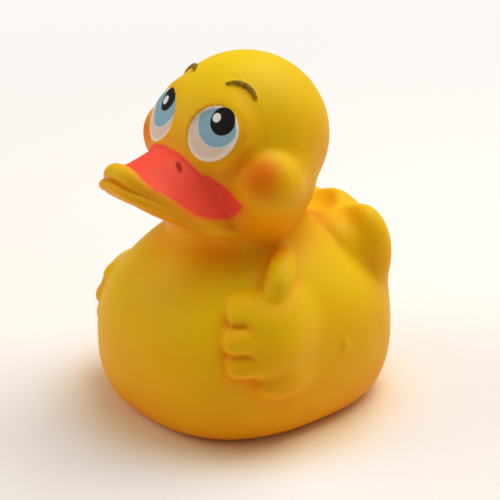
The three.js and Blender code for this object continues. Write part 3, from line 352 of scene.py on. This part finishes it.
def head_distance(s, u, v, w, low, right):
    """The ball of the head with a muzzle and cheeks, a mound under each eye, and the low relief of the eyes and
    brows. Low is the lower face's height. Returns the bare head as well."""
    radius = s.head_diameter / 2
    skull = ellipsoid(u - 0.4, v, w + 0.2, radius + 0.2, radius, radius - 0.3)
    muzzle = ellipsoid(u - radius + 11.7, v, low + 7.5, 13.8, 16, 8.5)
    jowl = ellipsoid(u - 4, v - 8, low + 13, 13, 9.5, 8.5)
    cheek = ellipsoid(u - 6.9, v - radius + 2.6, low + 7.1, 9, 8.6, 8.8)
    pouch = ellipsoid(u - 2.5, v - 11, low + 11.9, 10, 11.3, 9.2)
    rear_cheek = ellipsoid(u + 1.5, v - 13, low + 6.5, 8.2, 9, 8.5)
    cheek = smooth_min(smooth_min(cheek, pouch, 6), rear_cheek, 6)
    inner = np.sqrt(v ** 2 + 4) - 0.2  # joins the two mounds softly over the bill
    a, b = coordinate(EYE_ACROSS, u, inner, w), coordinate(EYE_UP, u, inner, w)
    mound = oval(a, b, s.eye_width / 2 + 1.5, s.eye_height / 2 + 1.5)
    mound = smooth_max(eye_plane(s, u, inner, w) + 0.55, mound, 4) + np.where(u < 0, FAR, 0)
    head = smooth_min(smooth_min(skull, smooth_min(muzzle, jowl, 2), 3), mound, 6)
    head = smooth_min(head, cheek, 2.6 + 6 * smooth_step(-5, -12, low) + 4 * smooth_step(7, 0, u))
    plane, outline = eye_plane(s, u, v, w), eye_outline(s, u, v, w)
    pad = smooth_max(plane, outline, 0.8)
    rim = np.hypot(outline + 0.5, plane + 0.25) - 0.5
    socket = smooth_max(outline, -plane, 0.4)
    face = smooth_max(head, -socket, 0.4)
    face = smooth_min(face, smooth_min(pad, rim, 0.4), 0.4)
    face = smooth_min(face, brow_distance(s, u, v, w, head, right), 0.4)
    return np.where(u < 0, head, face), head


BILL_POWER = 2.2  # 2 makes the bill's plan an ellipse, and more makes it squarer
LIP_DROOP = 0.0375  # how the lips fall towards the corners, times the square of the distance from the middle


def bill_plan(s, u, v, reach, width):
    """Level and edge distance of a rounded tongue, a superellipse that is shorter behind its widest line."""
    widest = s.head_diameter / 2 - 8.2
    length_there = np.where(u < widest, 9, reach - widest)
    pu = np.abs(u - widest) / length_there + 1e-6
    pv = v / width + 1e-6
    total = pu ** BILL_POWER + pv ** BILL_POWER
    rise = np.hypot(pu ** (BILL_POWER - 1) / length_there, pv ** (BILL_POWER - 1) / width)
    level = total ** (1 / BILL_POWER)
    return level, (level - 1) / np.maximum(rise * total ** (1 / BILL_POWER - 1), 1e-6)


def red_edge(v):
    """Height at which the top of the upper bill turns into its lip."""
    return -10.1 - LIP_DROOP * v ** 2


def upper_lip_height(v):
    """Height of the upper lip, which thins towards the corners."""
    return 4.4 - 3.2 * smooth_step(3, 16, v)


def lip_front(v):
    """1 at the tip of the bill, where the lip stands up over the red, and 0 at its sides."""
    return 1 - smooth_step(5, 12, v)


def bill_ridge(v):
    """How far forward, and how high, the ridge between the face and the bill lies."""
    return (23.4 - 0.034 * v ** 2 - 0.33 * np.maximum(v - 11, 0) ** 2,
            -5.7 - 0.012 * v ** 2 - 0.14 * np.maximum(v - 9.5, 0) ** 2)


def bill_distance(s, u, v, w):
    """The upper bill, a saddle that falls from the ridge on the face to the lip; the lower bill, a hull; and
    the distance from the upper bill's top. Each has a beaded lip, and they meet in a drooping mouth."""
    droop = 2 * LIP_DROOP * v
    mouth_slope = np.hypot(1, droop)
    lip_top = red_edge(v)
    mouth = lip_top - upper_lip_height(v)
    upper_lip = upper_lip_height(v) / 2 / mouth_slope
    upper_plan = bill_plan(s, u, v, s.bill_reach - 1.0, s.bill_width / 2 - 0.2)[1]
    level, lower_plan = bill_plan(s, u, v, s.bill_reach, s.bill_width / 2)
    ridge_reach, ridge_top = bill_ridge(v)
    ahead = np.maximum(u - ridge_reach, 0)
    span = ahead + np.maximum(-upper_plan, 0) + 0.8
    share = ahead / span
    dip = 1.2 * smooth_step(0.3, 0.85, share) * lip_front(v)
    top = lip_top - dip + (ridge_top - lip_top) * (1 - share) ** 1.5
    fall = np.minimum(1.5 * np.maximum(ridge_top - lip_top, 0) * np.sqrt(1 - share) / span, 2.5)
    top_distance = (w - top) / np.sqrt(1 + droop ** 2 + fall ** 2)
    upper = smooth_max(upper_plan, top_distance, 1.5)
    upper = smooth_max(upper, (mouth - w) / mouth_slope, 0.5)
    upper = smooth_min(upper, np.hypot(upper_plan, (w - mouth - upper_lip) / mouth_slope) - upper_lip, 0.6)
    inset = 2.2 * smooth_step(8, 16, v)
    chin = mouth - 3.0 - 6 * (1 - np.minimum(level, 1) ** 2)
    chin_slope = np.sqrt(1 + 0.09 + droop ** 2)
    lower = smooth_max(lower_plan + inset, (w - mouth) / mouth_slope, 0.5)
    lower = smooth_max(lower, (chin - w) / chin_slope, 1.5)
    lower_lip = 1.35 - 0.6 * smooth_step(3, 16, v)
    bead = np.hypot(lower_plan + 0.4 * inset - 0.3, (w - mouth + lower_lip) / mouth_slope) - lower_lip
    return upper, smooth_min(lower, bead, 0.8), top_distance


def nostril_distance(u, v, top_distance):
    """A short shallow slit in the top of the bill, turned out so that it runs nearly across."""
    ahead, out = u - 25.2, v - 6.1
    return ellipsoid(0.2 * ahead + 0.98 * out, 0.98 * ahead - 0.2 * out, top_distance, 1.3, 0.5, 0.8)


def duck_distance(s, x, y, z):
    """The whole outside of the moulding: every form above joined with a rounded blend, and a small blister that a
    bubble in the mould left on the flank. The right fist is deeper, lower and softer than the left one."""
    side = np.abs(y)
    body = body_distance(s, x, y, z)
    neck = ellipsoid(x - 3.5, y, z - 52, 17.5, 15.8, 10)
    u, w = head_frame(s, x, z)
    low = lower_height(u, y, w)
    face, head = head_distance(s, u, side, w, low, y < 0)
    upper, lower, top = bill_distance(s, u, side, low)
    trunk = smooth_min(smooth_min(body, neck, 9), face, 9)
    duck = smooth_min(trunk, upper, 0.8)
    ridge = np.hypot(head - 0.1, top - 0.1) - 0.6 + np.where(u > 8, 0, FAR)
    duck = smooth_min(duck, ridge, 0.5)
    duck = smooth_max(duck, -nostril_distance(u, side, top), 0.4)
    duck = smooth_min(duck, smooth_min(trunk, lower, 3.5) + 0.1, 0.6)
    fade = 1.0 + 2.2 * smooth_step(9, 16, round_flank(x, side))
    right = smooth_min(duck, fist_distance(s, x + 1.5, side, z, body + 1.2, -6.0, 3.4), fade + 1.5)
    left = smooth_min(duck, fist_distance(s, x, side, z, body, 0, 1.4), fade)
    left = smooth_min(left, thumb_distance(s, x, y, z, body), 1.0)
    blister = ellipsoid(x + 4.4, y - 33.6, z - 22.9, 1.5, 1.3, 1.8)
    return np.where(y < 0, right, smooth_min(left, blister, 0.6))


BASE_TRIM = 0.05  # how much of the base is cut off flat
FLOOR = 3.6  # top of the floor that the squeaker's flanges grip
HOLE_RADIUS, HOLE_TOP = 8, 6
RECESS_RADIUS, RECESS_TOP = 12, 1.5  # for the flange under the floor
CHAMBER_RADIUS, CHAMBER_TOP = 11, 15.6  # for the cup over the floor


def skin_distance(s, x, y, z):
    """The outside, cut flat at the base, less the flange's recess, the hole and the chamber over it."""
    radial = np.hypot(x, y)
    recess = np.maximum(radial - RECESS_RADIUS, z - RECESS_TOP - BASE_TRIM)
    hole = np.maximum(radial - HOLE_RADIUS, z - HOLE_TOP)
    chamber = np.maximum(np.maximum(radial - CHAMBER_RADIUS, z - CHAMBER_TOP), FLOOR - z)
    pocket = np.minimum(np.minimum(recess, hole), chamber)
    return np.maximum(np.maximum(duck_distance(s, x, y, z), BASE_TRIM - z), -pocket)


# Meshes

def graded_lines(low, high, cell, fine_cell, fine_from, fine_to):
    """Grid planes a cell apart, and a fine cell apart between two places."""
    stretches = ((low, fine_from, cell), (fine_from, fine_to, fine_cell), (fine_to, high, cell))
    lines = [np.linspace(a, b, max(round((b - a) / step), 1), endpoint=False) for a, b, step in stretches if b > a]
    return np.append(np.concatenate(lines), high)


def sample_grid(distance, lines, every=4, near=5):
    """The distance at each grid point, worked out at one point in four along each axis, and then again at each point
    that is near the surface."""
    coarse = [np.append(line[:-1:every], line[-1]) for line in lines]
    rough = distance(*np.meshgrid(*coarse, indexing="ij"))
    nearest = [np.abs(line[:, None] - few[None, :]).argmin(1) for line, few in zip(lines, coarse)]
    values = rough[np.ix_(*nearest)]
    close = np.nonzero(np.abs(values) < near)
    values[close] = distance(*(line[index] for line, index in zip(lines, close)))
    return values


def surface_net(values, lines):
    """A closed mesh of the zero level: one corner in each cell that it passes through, at the mean of the places
    where it crosses the cell's edges, and one square round each grid edge that it crosses."""
    inside = values < 0
    corners = [(i, j, k) for i in (0, 1) for j in (0, 1) for k in (0, 1)]
    shape = tuple(n - 1 for n in values.shape)
    count = sum(inside[i:i + shape[0], j:j + shape[1], k:k + shape[2]].astype(np.int8) for i, j, k in corners)
    cells = np.nonzero((count > 0) & (count < 8))
    total = np.zeros((len(cells[0]), 3))
    crossings = np.zeros(len(cells[0]))
    for a in corners:
        for axis in range(3):
            if a[axis]:
                continue
            b = tuple(1 if n == axis else a[n] for n in range(3))
            ia = tuple(c + n for c, n in zip(cells, a))
            ib = tuple(c + n for c, n in zip(cells, b))
            va, vb = values[ia], values[ib]
            crossed = (va < 0) != (vb < 0)
            t = np.where(crossed, va / np.where(crossed, va - vb, 1), 0)
            for n in range(3):
                pa, pb = lines[n][ia[n]], lines[n][ib[n]]
                total[:, n] += np.where(crossed, pa + (pb - pa) * t, 0)
            crossings += crossed
    number = np.full(shape, -1)
    number[cells] = np.arange(len(cells[0]))
    squares = []
    for axis in range(3):
        first, second = (axis + 1) % 3, (axis + 2) % 3
        low = [slice(1, n - 1) for n in values.shape]
        low[axis] = slice(0, values.shape[axis] - 1)
        high = list(low)
        high[axis] = slice(1, values.shape[axis])
        starts, ends = inside[tuple(low)], inside[tuple(high)]
        places = np.nonzero(starts != ends)
        outward = starts[places]
        index = [place + (0 if n == axis else 1) for n, place in enumerate(places)]
        ring = []
        for df, ds in ((1, 1), (0, 1), (0, 0), (1, 0)):
            at = list(index)
            at[first] = at[first] - df
            at[second] = at[second] - ds
            ring.append(number[tuple(at)])
        ring = np.stack(ring, 1)
        squares.append(np.where(outward[:, None], ring, ring[:, ::-1]))
    return total / crossings[:, None], np.concatenate(squares)


def settle(points, distance, furthest, passes=3, gap=0.02):
    """Each point drawn onto the surface along the slope of the distance, by no more than the furthest move. The
    slope is half the difference across the gap on either side, over the gap, and the last one comes back too."""
    for _ in range(passes):
        x, y, z = points.T
        value = distance(x, y, z)
        slope = np.stack([
            distance(x + gap, y, z) - distance(x - gap, y, z),
            distance(x, y + gap, z) - distance(x, y - gap, z),
            distance(x, y, z + gap) - distance(x, y, z - gap),
        ], 1) / (2 * gap)
        steep = np.maximum((slope ** 2).sum(1), 0.25)
        points = points - np.clip(value / steep, -furthest, furthest)[:, None] * slope
    return points, slope


# Painted shade: the base colour uses this measure to turn the latex orange in folds and on undersides
def sheltered(points, slope, distance):
    """How much the rest of the duck closes over each point, 0 in the open and 1 in a fold: the square of the mean
    share by which the distance falls short of the reach, at a few reaches straight out. Undersides count as partly
    sheltered, by how little the distance grows straight up."""
    out = slope / np.maximum(np.linalg.norm(slope, axis=1), 1e-6)[:, None]
    total = np.zeros(len(points))
    for reach in (2.5, 6, 14):
        total += np.clip(1 - distance(*(points + out * reach).T) / reach, 0, 1)
    x, y, z = points.T
    facing_up = (distance(x, y, z + 5) - distance(x, y, z - 5)) / 10
    return np.clip((total / 3) ** 2 * 1.6 + 0.62 * (1 - facing_up), 0, 1)


def mesh_object(name, points, faces, attributes):
    """An object at the origin from points in millimetres, with one number at each point for each attribute."""
    mesh = bpy.data.meshes.new(name)
    mesh.from_pydata(points * MM, [], faces)
    mesh.polygons.foreach_set("use_smooth", np.ones(len(faces), bool))
    for key, values in attributes.items():
        attribute = mesh.attributes.new(key, "FLOAT", "POINT")
        attribute.data.foreach_set("value", values.astype(np.float32))
    mesh.update()
    made = bpy.data.objects.new(name, mesh)
    bpy.context.scene.collection.objects.link(made)
    return made


# Paint: where each colour lies, as distances from its edge in millimetres, negative inside

def bill_red_edge(s, u, v, low, upper, top_edge, face):
    """The red on top of the bill: in front of the ridge on the face, above the lip and inside the lip's edge, all
    rounded together. In the wing, out to the corner of the mouth, it ends at a straight line instead of the ridge.
    Each distance is a difference of places over the slope of the line that it is measured from."""
    wing = smooth_step(10, 12, v)
    ridge = (u - bill_ridge(v)[0]) / np.sqrt(1 + (0.068 * v + 0.66 * np.maximum(v - 11, 0)) ** 2)
    ridge = (ridge - 0.5) * (1 - wing) - (low + 8.6 + 0.557 * (v - 11.9)) / 1.145 * wing
    above = (low - red_edge(v) + 1.2 * lip_front(v)) / np.hypot(1, 2 * LIP_DROOP * v)
    corner = np.minimum((low + 13.2 - 1.12 * (v - 18.9)) / 1.5, u - 9)
    inner = -top_edge - 1.4 + 1.7 * smooth_step(1, 7, v) + FAR * smooth_step(9, 11, v)
    red = smooth_min(smooth_min(smooth_min(ridge, above, 1), corner, 1), inner, 1)
    return np.maximum(-red, upper - np.maximum(face, 0.3 + 8 * smooth_step(11, 13, v)))


def paint_masks(s, points, slope, distance):
    """One signed distance for each painted area, at each point of the skin, and how much painted shade the latex and
    the red get. The cheek's is the distance from the middle of its blush, and the tail's is the depth below its top."""
    x, y, z = points.T
    side = np.abs(y)
    u, w = head_frame(s, x, z)
    low = lower_height(u, y, w)
    face, head = head_distance(s, u, side, w, low, y < 0)
    upper, _, top = bill_distance(s, u, side, low)
    top_edge = bill_plan(s, u, side, s.bill_reach - 1.0, s.bill_width / 2 - 0.2)[1]
    front = np.where(u > 0, 0, FAR)  # keeps the face's paint off the back of the head
    across, up = coordinate(EYE_ACROSS, u, side, w), coordinate(EYE_UP, u, side, w)

    def spot(left, right):
        """A round spot on the eyes: how far across, how far up and the radius, for the left eye and the right."""
        a, b, radius = (np.where(y > 0, *pair) for pair in zip(left, right))
        return np.hypot(across - a, up - b) - radius + front

    thumb = thumb_distance(s, x, y, z, body_distance(s, x, y, z))
    return {
        # Painted shade in folds and on undersides, a fifth less on and near the thumb
        "painted_shade": sheltered(points, slope, distance) * (0.8 + 0.2 * smooth_step(0, 2.5, thumb)),
        "eye": oval(across, up, s.eye_width / 2, s.eye_height / 2) + front,
        "iris": spot((-1.3, 2.5, 5.7), (-1.5, 2.0, 5.7)),
        "pupil": spot((-1.2, 3.7, 3.4), (-2.7, 3.0, 3.1)),
        "glint": spot((-2.85, 2.7, 1.15), (-1.5, 3.55, 1.2)),
        "brow": brow_distance(s, u, side, w, head, y < 0) + front,
        "bill_red": bill_red_edge(s, u, side, low, upper, top_edge, face),
        "nostril": nostril_distance(u, side, top) + front,
        "cheek": np.sqrt((u - 13.6) ** 2 + (side - 22.5) ** 2 + (w + 6.2) ** 2),
        "tail": np.where(w < -30, s.tail_top - z, 50),
    }


# Materials

BACKDROP = (*linear(252, 248, 244), 1)
LAMP_TINT = (1, 0.985, 0.96)
PARTING_LINE = 0.00602  # where the mould's halves met, in metres ahead of the middle


class Number:
    """A number that varies over a surface. Arithmetic on it adds Math nodes."""

    def __init__(self, nodes, socket):
        self.nodes, self.socket = nodes, socket

    def __add__(self, other):
        return self.nodes.math("ADD", self, other)

    def __radd__(self, other):
        return self.nodes.math("ADD", other, self)

    def __sub__(self, other):
        return self.nodes.math("SUBTRACT", self, other)

    def __rsub__(self, other):
        return self.nodes.math("SUBTRACT", other, self)

    def __mul__(self, other):
        return self.nodes.math("MULTIPLY", self, other)

    def __rmul__(self, other):
        return self.nodes.math("MULTIPLY", other, self)

    def size(self):
        """The number without its sign."""
        return self.nodes.math("ABSOLUTE", self)

    def inside(self, softness, edge=0.0):
        """1 where a distance is less than its edge, 0 where it is more, soft over the edge."""
        node = self.nodes.add("ShaderNodeMapRange", {"interpolation_type": "SMOOTHSTEP"}, {
            "Value": self, "From Min": edge + softness, "From Max": edge - softness, "To Min": 0, "To Max": 1,
        })
        return Number(self.nodes, node.outputs["Result"])


class Nodes:
    """The nodes of one material or world."""

    def __init__(self, owner):
        owner.use_nodes = True
        self.owner, self.tree = owner, owner.node_tree
        self.tree.nodes.clear()

    def add(self, kind, settings=None, sockets=None):
        """A node of a type, with its settings set first and then the values or links of its sockets."""
        node = self.tree.nodes.new(kind)
        for name, value in (settings or {}).items():
            setattr(node, name, value)
        for name, value in (sockets or {}).items():
            value = getattr(value, "socket", value)
            if isinstance(value, bpy.types.NodeSocket):
                self.tree.links.new(value, node.inputs[name])
            else:
                node.inputs[name].default_value = value
        return node

    def math(self, operation, *values):
        """A number worked out from others by one Math node."""
        node = self.add("ShaderNodeMath", {"operation": operation}, dict(enumerate(values)))
        return Number(self, node.outputs[0])

    def mix(self, factor, first, second):
        """A colour between two."""
        first, second = (c if isinstance(c, bpy.types.NodeSocket) else (*c[:3], 1) for c in (first, second))
        node = self.add("ShaderNodeMix", {"data_type": "RGBA"}, {0: factor, 6: first, 7: second})
        return node.outputs[2]

    def mix_shader(self, factor, first, second):
        """A shader between two."""
        return self.add("ShaderNodeMixShader", {}, {0: factor, 1: first.outputs[0], 2: second.outputs[0]})

    def output(self, kind, shader):
        """The shader put on the output. Returns the material or world."""
        self.add(kind, {}, {"Surface": shader.outputs[0]})
        return self.owner


class Finish(Nodes):
    """The nodes of one material, with patterns that stay on its object."""

    def __init__(self, name):
        super().__init__(bpy.data.materials.new(name))
        self.place = self.add("ShaderNodeTexCoord").outputs["Object"]

    def attribute(self, name):
        """A number kept at each point of the mesh."""
        return Number(self, self.add("ShaderNodeAttribute", {"attribute_name": name}).outputs["Fac"])

    def noise(self, scale, detail=2.0, roughness=0.5):
        """Noise from 0 to 1 with features about one over the scale metres across."""
        node = self.add("ShaderNodeTexNoise", {}, {
            "Vector": self.place, "Scale": scale, "Detail": detail, "Roughness": roughness,
        })
        return Number(self, node.outputs["Fac"])

    def bump(self, height, distance, strength=1.0):
        """The normal of a surface raised by a height from 0 to 1, times a distance in metres."""
        node = self.add("ShaderNodeBump", {}, {"Height": height, "Distance": distance, "Strength": strength})
        return node.outputs["Normal"]

    def surface(self, **sockets):
        """The Principled shader on the material's output. Underscores in the names stand for spaces."""
        sockets = {name.replace("_", " "): value for name, value in sockets.items()}
        return self.output("ShaderNodeOutputMaterial", self.add("ShaderNodeBsdfPrincipled", {}, sockets))


def latex_material(colours):
    """Yellow latex with painted shade, orange in folds and on undersides, and its sprayed and brushed paint, whose
    red takes a little painted shade too. Each paint covers what is inside its edge, and wavers a little as a brush
    does.
    The bump is a fine grain, and the ridge where the mould's halves met."""
    f = Finish("Painted latex")
    mottle = f.noise(90, 3)
    waver = (f.noise(900, 2) - 0.5) * 0.25
    # Painted shade: the latex turns orange in folds and on undersides, over a slightly more orange tone everywhere
    # and a random mottle
    painted_shade = f.attribute("painted_shade")
    base = f.mix(painted_shade * 0.84 + 0.1 + (mottle - 0.5) * 0.3, colours.latex, colours.painted_shade)
    base = f.mix((f.attribute("cheek") + (mottle - 0.5) * 3 - 5).inside(3.4) * 0.85, base, colours.blush)
    base = f.mix((f.attribute("tail") - 0.7).inside(1.0) * 0.75, base, colours.blush)
    red = f.attribute("bill_red") + waver
    base = f.mix((red - 2.1).inside(2.1) * 0.6, base, colours.bill_edge)
    base = f.mix((red - 0.4).inside(0.3), base, colours.bill_edge)
    # Painted shade on the red: darker where the bill is sheltered
    base = f.mix(red.inside(0.15), base, f.mix(painted_shade * 0.12, colours.bill_red, colours.bill_red_painted_shade))
    base = f.mix((f.attribute("nostril") - 0.1).inside(0.25) * 0.75, base, colours.nostril)
    eye = f.attribute("eye") + waver * 0.5
    base = f.mix((eye + 0.1).inside(0.12), base, colours.eye_rim)
    base = f.mix((eye + 0.75).inside(0.25), base, colours.eye_white)
    iris = f.attribute("iris") + waver * 0.5
    base = f.mix((iris - 0.3).inside(0.12) * (eye + 0.6).inside(0.1), base, colours.iris_edge)
    base = f.mix(iris.inside(0.12) * (eye + 0.75).inside(0.1), base, colours.iris)
    base = f.mix((f.attribute("pupil") + waver * 0.4).inside(0.1), base, colours.pupil)
    base = f.mix((f.attribute("glint") + waver * 0.3).inside(0.1), base, colours.glint)
    base = f.mix((f.attribute("brow") - 0.1 + waver * 0.4).inside(0.12), base, colours.brow)
    forward = Number(f, f.add("ShaderNodeSeparateXYZ", {}, {0: f.place}).outputs["X"])
    seam = (forward - PARTING_LINE + (mottle - 0.5) * 0.0004).size() * (1 / MM)
    grain = f.noise(2600, 3, 0.6) * 0.35 + f.noise(420, 2) * 0.65 + seam.inside(0.12, 0.2) * 1.5
    return f.surface(
        Base_Color=base, Roughness=0.44 + mottle * 0.12, Specular_IOR_Level=0.12, Subsurface_Weight=0.05,
        Subsurface_Radius=(1.0, 0.35, 0.05), Subsurface_Scale=0.003, Normal=f.bump(grain, 0.00006, 0.6),
    )


def plastic_material(colours):
    """Off-white moulded plastic with a faint grain."""
    f = Finish("Squeaker plastic")
    cloud = f.noise(160, 2)
    return f.surface(
        Base_Color=f.mix(cloud * 0.3, colours.plastic, colours.plastic_cloud), Roughness=0.34 + cloud * 0.12,
        Normal=f.bump(f.noise(1800, 2), 0.00003, 0.5),
    )


def reed_material(colours):
    """Thin pale film."""
    f = Finish("Reed film")
    cloud = f.noise(300, 2)
    return f.surface(Base_Color=f.mix(cloud * 0.3, colours.reed, colours.reed_cloud), Roughness=0.25 + cloud * 0.1)


def floor_material(stage):
    """Pale paper, with a painted warm tint of the duck's yellow bounce light and shadow close to it, that fades into
    the backdrop's own colour far out.
    """
    f = Finish("Floor")
    far = Number(f, f.add("ShaderNodeVectorMath", {"operation": "LENGTH"}, {0: f.place}).outputs["Value"])
    fade = f.add("ShaderNodeMapRange", {"interpolation_type": "SMOOTHSTEP"}, {
        "Value": far, "From Min": 0.10, "From Max": 0.42,
    }).outputs["Result"]
    # Painted light: the floor turns warmer close to the duck, for its yellow bounce light and shadow
    paper = f.add("ShaderNodeBsdfDiffuse", {}, {
        "Color": f.mix(far.inside(0.014, 0.04), stage.floor, stage.floor_painted_light),
    })
    backdrop = f.add("ShaderNodeEmission", {}, {"Color": BACKDROP, "Strength": 1})
    seen = f.add("ShaderNodeLightPath").outputs["Is Camera Ray"]
    return f.output("ShaderNodeOutputMaterial", f.mix_shader(f.math("MULTIPLY", fade, seen), paper, backdrop))


def studio_world(stage):
    """Soft light from all round, and the backdrop's colour where the camera looks past the floor."""
    f = Nodes(bpy.data.worlds.new("Studio"))
    light = f.add("ShaderNodeBackground", {}, {"Color": (*LAMP_TINT, 1), "Strength": stage.sky})
    backdrop = f.add("ShaderNodeBackground", {}, {"Color": BACKDROP, "Strength": 1})
    seen = f.add("ShaderNodeLightPath").outputs["Is Camera Ray"]
    return f.output("ShaderNodeOutputWorld", f.mix_shader(seen, light, backdrop))


# Operators

class DUCK_OT_skin(bpy.types.Operator):
    """Make the latex moulding and paint it"""

    bl_idname = "duck.skin"
    bl_label = "Latex Skin"

    def execute(self, context):
        s = millimetres(context.scene.duck_sizes)
        distance = partial(skin_distance, s)
        lines = [
            graded_lines(-44, 49, s.cell, s.face_cell, 4, 46),
            graded_lines(-42, 42, s.cell, s.face_cell, -18, 18),
            graded_lines(-1.5, 96, s.cell, s.face_cell, 51, 90),
        ]
        points, faces = surface_net(sample_grid(distance, lines), lines)
        points, slope = settle(points, distance, 0.3 * s.face_cell)
        masks = paint_masks(s, points, slope, distance)
        # The formulas' middle is not quite the frame's, so the skin is moved onto the node that it stands for
        low, high = (np.array(corner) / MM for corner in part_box("duck_skin"))
        shift = (low + high) / 2 - (points.min(0) + points.max(0)) / 2
        shift[2] = low[2] - points[:, 2].min()
        skin = mesh_object("latex_skin", points + shift, faces, masks)
        skin.data.materials.append(latex_material(context.scene.duck_colours))
        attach(skin, "root")
        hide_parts("duck_skin")
        return {"FINISHED"}


class DUCK_OT_squeaker(bpy.types.Operator):
    """Give the squeaker's cup, seat and reed their plastics"""

    bl_idname = "duck.squeaker"
    bl_label = "Squeaker"

    def execute(self, context):
        colours = context.scene.duck_colours
        plastic = plastic_material(colours)
        film = reed_material(colours)
        for name, material in (("squeaker_cup", plastic), ("squeaker_reed_seat", plastic), ("squeaker_reed", film)):
            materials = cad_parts[name].data.materials
            materials.clear()
            materials.append(material)
        return {"FINISHED"}


class DUCK_OT_stage(bpy.types.Operator):
    """Lay the floor, set the lamps and aim the camera"""

    bl_idname = "duck.stage"
    bl_label = "Stage"

    def lamp(self, context, name, place, size, power):
        """A square lamp that looks at the duck from a place."""
        data = bpy.data.lights.new(name, "AREA")
        data.size, data.energy, data.color = size, power, LAMP_TINT
        made = bpy.data.objects.new(name, data)
        made.location = place
        made.rotation_euler = (Vector((0, 0, 0.04)) - Vector(place)).to_track_quat("-Z", "Y").to_euler()
        context.scene.collection.objects.link(made)
        return made

    def camera(self, context):
        """The camera at the photograph's angle, with the small shift of its framing."""
        stage = context.scene.duck_stage
        aim = Vector((-0.00198, -0.00003, 0.04495))
        a, e = stage.azimuth, stage.elevation
        back = Vector((math.cos(a) * math.cos(e), math.sin(a) * math.cos(e), math.sin(e)))
        data = bpy.data.cameras.new("Camera")
        data.lens, data.sensor_width = stage.lens, 36
        data.shift_x, data.shift_y = 0.01, -0.042
        data.clip_start, data.clip_end = 0.02, 20
        made = bpy.data.objects.new("Camera", data)
        made.location = aim + back * stage.distance
        made.rotation_euler = (-back).to_track_quat("-Z", "Y").to_euler()
        context.scene.collection.objects.link(made)
        context.scene.camera = made

    def execute(self, context):
        scene = context.scene
        stage = scene.duck_stage
        mesh = bpy.data.meshes.new("Floor")
        mesh.from_pydata([(-4, -4, 0), (4, -4, 0), (4, 4, 0), (-4, 4, 0)], [], [(0, 1, 2, 3)])
        mesh.materials.append(floor_material(stage))
        floor = bpy.data.objects.new("Floor", mesh)
        floor.location.z = -0.0001
        scene.collection.objects.link(floor)
        scene.world = studio_world(stage)
        key = self.lamp(context, "Key", (-0.28, 0.02, 0.7), 0.6, stage.key)
        right = self.lamp(context, "Right", (-0.62, 0.2, 0.42), 0.5, stage.fill / 3)
        left = self.lamp(context, "Left", (0.46, -0.42, 0.42), 0.5, stage.fill)
        self.camera(context)
        scene.view_settings.view_transform = "Standard"
        return {"FINISHED"}


class DUCK_PT_panel(bpy.types.Panel):
    """Lists the duck's pieces"""

    bl_idname = "DUCK_PT_panel"
    bl_label = "Rubber Duck"
    bl_space_type = "VIEW_3D"
    bl_region_type = "UI"
    bl_category = "Rubber Duck"

    def draw(self, context):
        for operator in (DUCK_OT_skin, DUCK_OT_squeaker, DUCK_OT_stage):
            self.layout.operator(operator.bl_idname)
        scene = context.scene
        groups = {"Sizes": scene.duck_sizes, "Colours": scene.duck_colours, "Stage": scene.duck_stage}
        for title, settings in groups.items():
            box = self.layout.box()
            box.label(text=title)
            for name in settings.__annotations__:
                box.prop(settings, name)


CLASSES = (DuckSizes, DuckColours, DuckStage, DUCK_OT_skin, DUCK_OT_squeaker, DUCK_OT_stage, DUCK_PT_panel)


def register():
    """Add the classes and the scene's settings."""
    for made in CLASSES:
        bpy.utils.register_class(made)
    bpy.types.Scene.duck_sizes = bpy.props.PointerProperty(type=DuckSizes)
    bpy.types.Scene.duck_colours = bpy.props.PointerProperty(type=DuckColours)
    bpy.types.Scene.duck_stage = bpy.props.PointerProperty(type=DuckStage)


def unregister():
    """Take them away again."""
    for name in ("duck_sizes", "duck_colours", "duck_stage"):
        delattr(bpy.types.Scene, name)
    for made in reversed(CLASSES):
        bpy.utils.unregister_class(made)


def main():
    """Make the duck and its stage."""
    register()
    bpy.ops.duck.skin()
    bpy.ops.duck.squeaker()
    bpy.ops.duck.stage()


if __name__ == "__main__":
    main()
